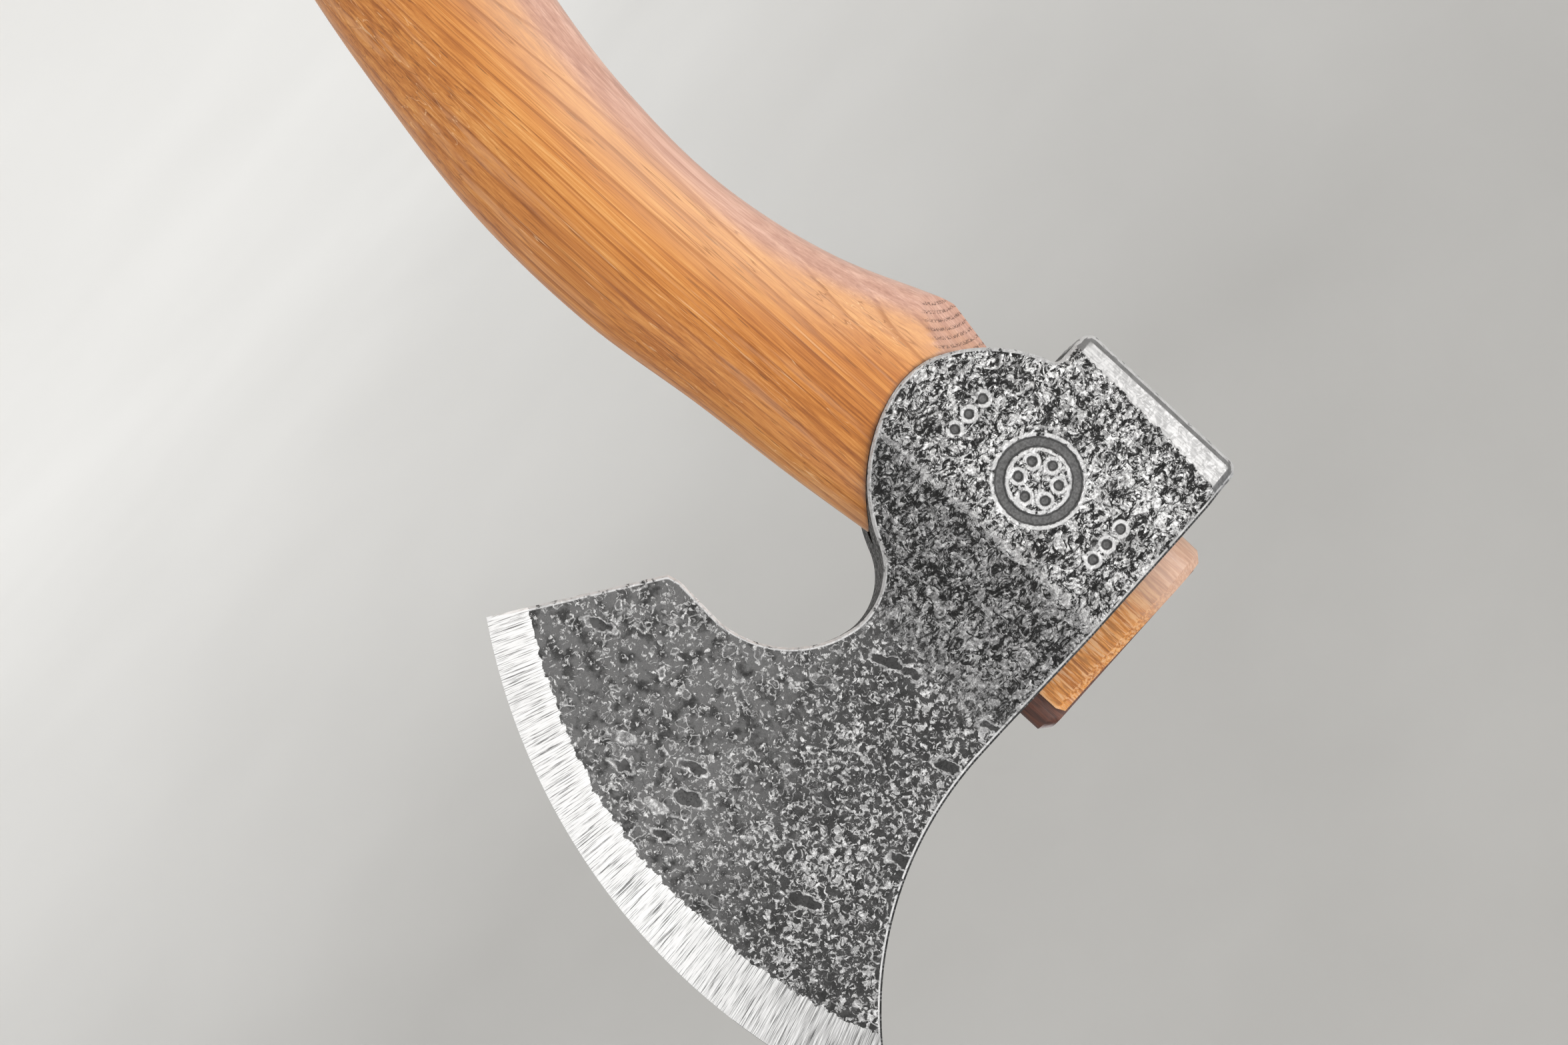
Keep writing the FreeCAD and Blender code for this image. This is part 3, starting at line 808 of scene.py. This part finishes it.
def cheekScale(f, wander, patch):
    """Height of winding plateaus over hollows, and where it is worn bright and half worn."""
    winding = np.minimum(abs(f.noise(0.46, 4, 0.58, 1.5) - 0.5) * 4.2, 0.32)
    lumps = f.noise(0.74, 6, 0.66, 0.9, stretch=(0.75, 1.0, 1.15))
    ridge = (f.x - 3.0 + wander * 0.12).peak(1.3)
    height = winding + (lumps - 0.5) * 1.9 + (patch - 0.5) * 0.35 + ridge * 0.22
    return height, height.over(0.19, 0.035), height.over(0.06, 0.05)


def bladeScale(f, beardSide):
    """Lacy islands, small round spots, bubbles and crater rims, and long dark gouges."""
    x, z = f.x, f.z
    lace = f.noise(0.92, 6, 0.70, 0.7)
    laceHeight = lace + (f.noise(0.09) - 0.5) * 0.12 + (z * 0.0005 + 0.027) - beardSide * 0.018
    warpX, warpZ = x + (f.noise(0.5) - 0.5) * 3.0, z + (f.noise(0.55) - 0.5) * 3.0
    warped = f.node("CombineXYZ", inputs={0: warpX, 1: f.y * 0.3, 2: warpZ})
    slant = f.node("CombineXYZ", inputs={0: warpX + warpZ * 0.35, 1: f.y * 0.3, 2: warpZ * 0.45})

    spotGap, spotTint = f.cellPair(0.85, warped)
    spots = spotGap.under(0.24, 0.03) * spotTint.over(0.55, 0.02)
    ringGap, ringTint = f.cellPair(0.26, warped)
    ringSize, ringHere = ringTint * 0.22 + 0.14, ringTint.over(0.50, 0.02)
    rings = (ringGap - ringSize).peak(0.045) * ringHere * (beardSide * 0.85 + 0.15)
    ringFill = ringGap.under(ringSize - 0.05, 0.03) * ringHere
    bubbleGap, bubbleTint = f.cellPair(0.62, warped)
    bubbles = (bubbleGap - bubbleTint * 0.16 - 0.16).peak(0.07) * bubbleTint.over(0.55, 0.02)
    rings = np.maximum(rings, bubbles * beardSide * 0.9)
    gougeGap, gougeTint = f.cellPair(0.21, slant)
    gougeSize, gougeHere = gougeTint * 0.24 + 0.02, gougeTint.over(0.60, 0.02)
    gouge = gougeGap.under(gougeSize, 0.02) * gougeHere
    gougeRim = (gougeGap - gougeSize - 0.05).peak(0.05) * gougeHere

    laceWorn, laceRim = laceHeight.over(0.548, 0.014), (laceHeight - 0.555).peak(0.012)
    worn = np.maximum(np.maximum(laceWorn * 0.80, spots * 0.85), rings)
    worn = np.maximum(worn * (1 - gouge) * (1 - ringFill * beardSide * 0.6), gougeRim * 0.9)
    worn = np.minimum(worn + laceRim * 0.30 * (1 - gouge), 1.0)
    height = laceWorn * 0.35 + lace * 0.5 + spots * 0.25 + rings * 0.35 + gougeRim * 0.3 - gouge * 0.9
    return height, worn, gouge


def markColours(f, across, colour):
    """The punched mark on the near cheek: dull grey grooves, painted shade along their edges and a bright
    worn rim, partly a painted highlight.
    """
    onNear = f.y.under(0.0, 0.01) * across.under(-0.02, 0.02)
    outside = markGap(f.x, f.z) + (f.noise(0.9) - 0.5) * 0.5
    mark = outside.under(0.0, 0.10) * onNear
    # a bright worn rim round the mark, partly a painted highlight
    rim = outside.under(0.70, 0.15) * onNear * (1 - mark)
    # painted shade along the grooves' edges
    edge = (outside + 0.22).peak(0.20) * onNear
    colour = f.mix(rim * f.noise(0.8).over(0.38, 0.06) * 0.9, colour, grey(0.88))
    colour = f.mix(mark, colour, f.ramp(f.noise(2.2), steelLook.mark))
    return mark, f.mix(edge * 0.8, colour, grey(0.012))


def steelFinish():
    """Dark forge scale worn bright on its high spots; ground bevel, polished poll, bright rims."""
    f = Finish("forged_steel", headOrigin)
    x, z = f.x, f.z
    dx, dz = x - float(edgeCentre[0]), z - float(edgeCentre[1])
    inward = head.edgeRadius - (dx * dx + dz * dz) ** 0.5
    alongEdge = np.arctan2(dz, dx) * head.edgeRadius
    across, along = f.attribute("across"), f.attribute("along")

    # where the bevel is ground and the poll polished, each up to a ragged line
    width = z.carried(head.bevelLow, head.bevelHigh, head.bevelHeel, head.bevelToe, "SMOOTHSTEP")
    ragged = (f.noise(0.16) - 0.5) * 2.4 + (f.noise(0.8, 3) - 0.5) * 2.2
    ground = (width + ragged - inward).over(0.0, 0.07)
    fromFace = x - head.pollFace
    pollWidth = z.carried(-head.pollHeight, 0.0, head.polishLow, head.polishHigh)
    pollRagged = (f.noise(0.3) - 0.5) * 1.6 + (f.noise(1.2) - 0.5) * 1.2
    polished = (pollWidth + pollRagged - fromFace).over(0.0, 0.07)

    # forge scale: one kind on the cheek, another on the blade
    wander = (f.noise(0.10, 3) - 0.5) * 12
    onSlope = (x + wander * 0.5).over(2.5, 3.0)
    onBlade = (x + wander).over(26.0, 5.0)
    beardSide = (z * -1.0 + x * 0.35 + wander).over(44.0, 14.0)
    grain, patch = f.noise(5.0, 3, 0.6), f.noise(0.13, 3, 0.55)
    cheekHeight, cheekWorn, cheekMiddle = cheekScale(f, wander, patch)
    bladeHeight, bladeWorn, gouge = bladeScale(f, beardSide)
    worn = cheekWorn * (1 - onBlade) + bladeWorn * onBlade
    height = (cheekWorn * 0.45 + cheekHeight * 1.6) * (1 - onBlade) + bladeHeight * onBlade

    plateau = f.ramp(f.noise(1.7, 4, 0.6) * 0.6 + grain * 0.2 + patch * 0.2, steelLook.plateau)
    slope = f.ramp(f.noise(1.4, 4, 0.6) * 0.7 + grain * 0.3, steelLook.slope)
    blade = f.ramp(f.noise(1.2, 4, 0.6) * 0.6 + grain * 0.4, steelLook.blade)
    hollow = f.ramp(grain * 0.5 + f.noise(1.4, 3) * 0.5, steelLook.hollow)
    bladeDark = f.ramp(grain * 0.5 + f.noise(0.5, 3) * 0.5, steelLook.bladeDark)
    beardGrey = beardSide * f.noise(0.35, 3, 0.6).over(0.46, 0.10)
    bladeDark = f.mix(beardGrey * 0.75, bladeDark, f.mix(grain, grey(0.075), grey(0.24)))
    hollow = f.mix(cheekMiddle * 0.5, hollow, f.mix(onSlope, grey(0.12), grey(0.075)))
    wornColour = f.mix(onBlade, f.mix(onSlope, plateau, slope), blade)
    scaleColour = f.mix(worn, f.mix(onBlade, hollow, bladeDark), wornColour)
    scaleColour = f.mix(gouge * onBlade * (grain * 0.8 + 0.1), scaleColour, grey(0.045))
    mark, scaleColour = markColours(f, across, scaleColour)

    # grinding marks run square to the edge, and along the poll's bevel
    strokePlace = f.node("CombineXYZ", inputs={
        0: alongEdge + inward * 0.12, 1: inward, 2: f.y.over(0, 0.01) * 40})
    strokes = f.noise(5.0, 3, 0.65, 0.0, strokePlace, (1.0, 0.028, 1.0))
    longStrokes = f.noise(0.9, 3, 0.6, 0.0, strokePlace, (1.0, 0.05, 1.0))
    strokeTone = strokes * 0.85 + longStrokes * 0.15
    groundColour = f.mix((z + inward * 0.8).over(6.0, 34.0), f.ramp(strokeTone, steelLook.ground),
                         f.ramp(strokeTone, steelLook.groundDull))
    pollStrokes = f.noise(3.0, 3, 0.6, 0.0, stretch=(1.0, 0.3, 0.10))
    toPollEdge = np.minimum(fromFace, np.minimum(z * -1.0, z + head.pollHeight))
    pollEdge = toPollEdge.under(1.7, 0.15)
    pollColour = f.mix(pollEdge * 0.75, f.ramp(pollStrokes, steelLook.poll), grey(0.16))

    # walls between the cheeks: dark, with bright rims and small upset marks along the top
    onTop = (z + 1.0).over(0.0, 0.3) * x.over(-34.0, 1.0)
    topChamfer = across.over(0.12, 0.06) * across.under(1.05, 0.05) * onTop
    ticks = np.sin(along * 9.0).over(0.0, 0.35)
    rim = across.over(-0.32, 0.08) * across.under(1.02, 0.03) * (1 - topChamfer)
    rimShare = rim * f.noise(0.7, 3).over(0.38, 0.05)
    wall = across.over(1.05, 0.05)
    bareWall = wall * (1 - polished) * (1 - ground)
    wallStrokes = f.noise(1.6, 4, 0.65, stretch=(1.0, 0.35, 1.0))
    colour = f.mix(ground, scaleColour, groundColour)
    colour = f.mix(polished, colour, pollColour)
    colour = f.mix(rimShare * (1 - ground), colour, grey(0.62))
    colour = f.mix(topChamfer * (1 - polished), colour, f.mix(ticks, grey(0.022), grey(0.13)))
    colour = f.mix(bareWall, colour, f.ramp(wallStrokes, steelLook.wall))

    bright = np.maximum(ground * 0.55, polished * 0.45)
    metal = np.maximum(bright, np.maximum(worn * (1 - mark) * (0.85 - onBlade * 0.50), rimShare * 0.6))
    metallic = metal * (1 - bareWall) * (1 - topChamfer) * 0.9
    rough = 0.60 - metal * 0.24 + polished * 0.05 + (f.noise(1.3) - 0.5) * 0.14 + bareWall * 0.15
    onSkin = (1 - ground) * (1 - polished) * (1 - wall)
    bump = (height * (1 - mark) - mark * 1.2) * onSkin + ground * (strokes * 0.25 + 0.2)
    bump = bump + polished * (pollStrokes * 0.10 + 0.7)
    bump = bump + bareWall * wallStrokes * 0.8 + topChamfer * ticks * 0.3
    return f.finishWith(bump, steelLook.bumpStrength, steelLook.bumpDepth, Base_Color=colour,
                        Metallic=metallic, Roughness=rough, Specular_IOR_Level=steelLook.gloss)


# Colours of the handle's wood: along the grain's tone, along the pink of the sapwood and its painted sky
# sheen, and single ones.
woodLook = Settings(
    tone=((0.33, (0.200, 0.056, 0.010)), (0.42, (0.37, 0.118, 0.019)), (0.49, (0.52, 0.190, 0.036)),
          (0.56, (0.62, 0.262, 0.062)), (0.66, (0.80, 0.46, 0.18))),
    pink=((0.36, (0.36, 0.185, 0.145)), (0.50, (0.52, 0.305, 0.245)), (0.64, (0.70, 0.460, 0.385))),
    # pale: the colour of the pale streaks and of the painted sheen band down the back
    pore=(0.105, 0.034, 0.012), streak=(0.33, 0.090, 0.016), pale=(0.72, 0.46, 0.29),
    late=(0.27, 0.080, 0.014), hair=(0.19, 0.058, 0.014), gleam=(0.88, 0.60, 0.34),
    facetPore=(0.085, 0.035, 0.022), grime=(0.10, 0.040, 0.018),
    tongueLight=(0.74, 0.50, 0.30), tongueDark=(0.22, 0.085, 0.030),
    tonguePink=((0.40, 0.24, 0.18), (0.72, 0.52, 0.42)),
    pith=(78.0, 22.0), ringWidth=2.7, facetArc=(-27.0, -69.0), facetRow=1.7,
    bumpStrength=0.5, bumpDepth=0.00014, coat=0.22, coatRough=0.32, gloss=0.4,
)


def tongueColours(f, colour):
    """The tongue above the head's top face: streaked, and pinker towards the poll."""
    onTongue = f.z.over(-1.0, 0.3)
    tone = f.grain(1.8, 0.10, 4, 0.65)
    towardsPoll = 1 - (f.x + (tone - 0.5) * 14).over(-7.0, 5.0)
    colour = f.mix(onTongue * tone.over(0.53, 0.05) * 0.50, colour, woodLook.tongueLight)
    colour = f.mix(onTongue * tone.under(0.43, 0.04) * 0.55, colour, woodLook.tongueDark)
    return f.mix(onTongue * towardsPoll * 0.75, colour, f.mix(tone, *woodLook.tonguePink))


def hardwoodFinish():
    """Straight grain along the handle: growth rings about a pith far in front, streaks, pores,
    a painted pale sheen band and a pinker back, partly sapwood and partly painted sky sheen."""
    f = Finish("oiled_hardwood", headOrigin)
    sway = (f.grain(0.010, 0.6) - 0.5) * 12
    sway = sway + (f.grain(0.05, 0.10) - 0.5) * 3.0
    pithX, pithY = woodLook.pith
    px, py = f.x - pithX + sway, f.y - pithY
    spacing = (px * px + py * py * 1.2) ** 0.5 + (f.grain(0.06, 0.04) - 0.5) * 7
    ringShare = spacing / woodLook.ringWidth % 1.0
    ringLine = ringShare.over(0.70, 0.26) * ringShare.under(0.97, 0.03)
    fibres = f.grain(2.4, 0.014, 6, 0.74)
    wide = f.grain(0.55, 0.030, 4, 0.60)
    cloud = f.grain(0.045, 0.35, 3, 0.55)
    tone = fibres * 0.50 + wide * 0.26 + cloud * 0.26 - ringLine * 0.045
    colour = f.ramp(tone, woodLook.tone)
    poreGap = f.cells(1.6, (1.0, 1.0, 0.06))
    pores = poreGap.under(0.17, 0.05) * ringShare.over(0.55, 0.15) * ringShare.under(0.96, 0.03)
    colour = f.mix(pores * 0.55, colour, woodLook.pore)
    streak = f.grain(0.22, 0.05, 3, 0.6).over(0.60, 0.05)
    colour = f.mix(streak * 0.22, colour, woodLook.streak)

    # the share of sapwood pink and painted sky sheen, from the distance to the handle's back and from the
    # shoulder's facet
    fromBack = f.attribute("fromBack") + (f.grain(0.05, 0.3) - 0.5) * 7
    fromBack = fromBack + (wide - 0.5) * 3
    facet = f.attribute("facet")
    sapwoodAndSkySheen = np.maximum(1 - fromBack.over(6.6, 2.4), facet * 0.8)
    # painted highlight: a pale sheen band along the back flank, mixed in with the pale streaks
    paleSheenBand = fromBack.under(14.0, 6.5)
    pale = f.grain(0.30, 0.04, 3, 0.6).over(0.585, 0.05)
    colour = f.mix(np.maximum(pale * 0.18, paleSheenBand * 0.46), colour, woodLook.pale)

    # late wood, thin dark lines that come and go along the grain, and painted glints in thin bright lines
    # along it
    late = ringShare.over(0.85, 0.07) * ringShare.under(0.965, 0.03) * (wide * 1.2 + 0.2)
    colour = f.mix(late * 0.50, colour, woodLook.late)
    hair = (f.grain(0.80, 0.007, 1, 0.4) - 0.5).peak(0.016)
    hair = hair * f.grain(0.10, 0.3).over(0.44, 0.08)
    colour = f.mix(hair * 0.55, colour, woodLook.hair)
    # painted glints: short bright lines along the grain
    gleam = (f.grain(0.9, 0.008, 1, 0.4) - 0.56).peak(0.010)
    gleam = gleam * f.grain(0.12, 0.4).over(0.50, 0.06)
    colour = f.mix(gleam * 0.5, colour, woodLook.gleam)
    # pink down the back and on the shoulder's facet: partly the sapwood's own pink, partly a painted sky
    # sheen on the faces turned to the light
    colour = f.mix(sapwoodAndSkySheen * 0.85, colour, f.ramp(fibres * 0.5 + wide * 0.5, woodLook.pink))

    # rows of pores in arcs on the facet, and painted shade where wood meets steel
    arcX, arcZ = f.x - woodLook.facetArc[0], f.z - woodLook.facetArc[1]
    arch = (arcX * arcX * 0.7 + arcZ * arcZ + f.y * f.y * 0.3) ** 0.5
    archRow = (arch / woodLook.facetRow % 1.0).over(0.62, 0.12)
    facetPores = f.noise(2.6).over(0.50, 0.03) * archRow * facet
    colour = f.mix(facetPores * 0.75, colour, woodLook.facetPore)
    # painted shade: the wood darkens where it runs close to the steel
    grime = (1 - f.attribute("nearSteel").over(0.4, 0.6)) * (f.noise(0.9, 3).over(0.42, 0.2) * 0.4 + 0.35)
    colour = f.mix(grime, colour, woodLook.grime)
    colour = tongueColours(f, colour)

    roughness = 0.42 + (fibres - 0.5) * 0.22 + pores * 0.2 - sapwoodAndSkySheen * 0.05
    bump = fibres * 0.40 - pores * 0.5 - ringLine * 0.10 + wide * 0.14
    return f.finishWith(bump, woodLook.bumpStrength, woodLook.bumpDepth, Base_Color=colour,
                        Roughness=roughness, Coat_Weight=woodLook.coat,
                        Coat_Roughness=woodLook.coatRough, Specular_IOR_Level=woodLook.gloss)


wedgeLook = Settings(
    tone=((0.28, (0.016, 0.005, 0.003)), (0.45, (0.062, 0.018, 0.010)),
          (0.60, (0.125, 0.040, 0.022)), (0.75, (0.21, 0.080, 0.045))),
    bumpStrength=0.6, bumpDepth=0.0002,
)


def wedgeFinish():
    """Dark red-brown wood with close, straight grain."""
    f = Finish("dark_wedge_wood", headOrigin)
    lines = f.grain(2.6, 0.05, 4, 0.65)
    wide = f.grain(0.8, 0.1)
    colour = f.ramp(lines * 0.7 + wide * 0.3, wedgeLook.tone)
    return f.finishWith(lines, wedgeLook.bumpStrength, wedgeLook.bumpDepth,
                        Base_Color=colour, Roughness=0.48 + (wide - 0.5) * 0.2)


def floorFinish():
    """Pale plaster with a faint, slow change of tone."""
    f = Finish("pale_floor")
    colour = f.ramp(f.noise(0.004), ((0.3, (0.72, 0.71, 0.69)), (0.7, (0.76, 0.75, 0.73))))
    return f.finishWith(Base_Color=colour, Roughness=0.9, Specular_IOR_Level=0.2)


# The studio.

studio = Settings(
    floorRadius=1.75, sweep=1.75, wallTop=3.0, floorAround=96, aim=(0.03, 0, 0.25),
    lens=85.0, azimuth=5.2, elevation=0.0, roll=132.3,
    target=(25.1, -53.9), distance=0.667,
    # name, place, size, watts, colour
    lights=(("key", (-1.8, -1.2, 1.0), 0.9, 26.0, (1.0, 0.985, 0.96)),
            ("front", (-0.4, -1.9, 1.2), 1.2, 20.0, (1.0, 0.99, 0.98)),
            ("fill", (1.9, -0.8, 1.2), 1.2, 11.0, (0.97, 0.98, 1.0)),
            ("back", (0.3, 1.7, 1.7), 1.2, 22.0, (0.98, 0.99, 1.0))),
    world=(0.86, 0.87, 0.88), worldStrength=0.52,
)


def makeFloor():
    """A flat disc that sweeps up into a wall all round: a profile turned about the vertical."""
    bend = np.linspace(0, np.pi / 2, 24)
    radius, sweep, around = studio.floorRadius, studio.sweep, studio.floorAround
    out = np.concatenate([[0.001, 0.5, 1.5], radius + sweep * np.sin(bend), [radius + sweep]])
    up = np.concatenate([[0, 0, 0], sweep * (1 - np.cos(bend)), [studio.wallTop]])
    turn = np.linspace(0, 2 * np.pi, around, endpoint=False)
    grid = stacked(out[:, None] * np.cos(turn), out[:, None] * np.sin(turn), up[:, None])
    faces = gridFaces(len(out), around, 0, True)[:, ::-1].tolist() + [list(range(around))]
    mesh = bpy.data.meshes.new("floor")
    mesh.from_pydata(grid.reshape(-1, 3).tolist(), [], faces)
    mesh.polygons.foreach_set("use_smooth", [True] * len(mesh.polygons))
    mesh.materials.append(floorFinish())
    addObject("floor", mesh)


def setPlace(seat, place, facing):
    seat.location, seat.rotation_mode, seat.rotation_quaternion = place, "QUATERNION", facing


def makeLights():
    """Soft square lamps high around the object, all aimed at the head's side of the handle."""
    aim = Vector(studio.aim)
    for name, place, size, power, colour in studio.lights:
        light = bpy.data.lights.new(name, "AREA")
        light.size, light.energy, light.color = size, power, colour
        lamp = addObject(name, light)
        setPlace(lamp, place, (aim - Vector(place)).to_track_quat("-Z", "Y"))
        lamp.visible_camera = False
    world = bpy.data.worlds.new("studio")
    world.use_nodes = True
    background = world.node_tree.nodes["Background"]
    background.inputs[0].default_value = (*studio.world, 1)
    background.inputs[1].default_value = studio.worldStrength
    bpy.context.scene.world = world


def makeCamera():
    """A long lens square to the cheek but for a small turn, rolled so that the handle slants."""
    camera = bpy.data.cameras.new("camera")
    camera.lens = studio.lens
    camera.clip_start, camera.clip_end = 0.01, 40
    azimuth, elevation = math.radians(studio.azimuth), math.radians(studio.elevation)
    level = math.cos(elevation)
    back = Vector((math.sin(azimuth) * level, -math.cos(azimuth) * level, math.sin(elevation)))
    target = headOrigin + Vector((studio.target[0], 0, studio.target[1])) / 1000
    roll = Quaternion((0, 0, 1), math.radians(studio.roll))
    seat = addObject("camera", camera)
    setPlace(seat, target + back * studio.distance, (-back).to_track_quat("-Z", "Y") @ roll)
    bpy.context.scene.camera = seat


def place(piece, node, slot, material):
    """Gives a finished piece its material, its body and the node that it replaces; the slot is not used.
    """
    piece.data.materials.append(material)
    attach(piece, "root")
    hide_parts(node)


bpy.context.scene.view_settings.view_transform = "Standard"
makeCamera()
makeLights()
makeFloor()
print("studio done")
place(makeHead(), "axe_head", "steel", steelFinish())
print("head done")
place(makeHandle(), "handle", "hardwood", hardwoodFinish())
print("handle done")
place(makeWedge(), "wedge", "wedge_wood", wedgeFinish())
print("wedge done")
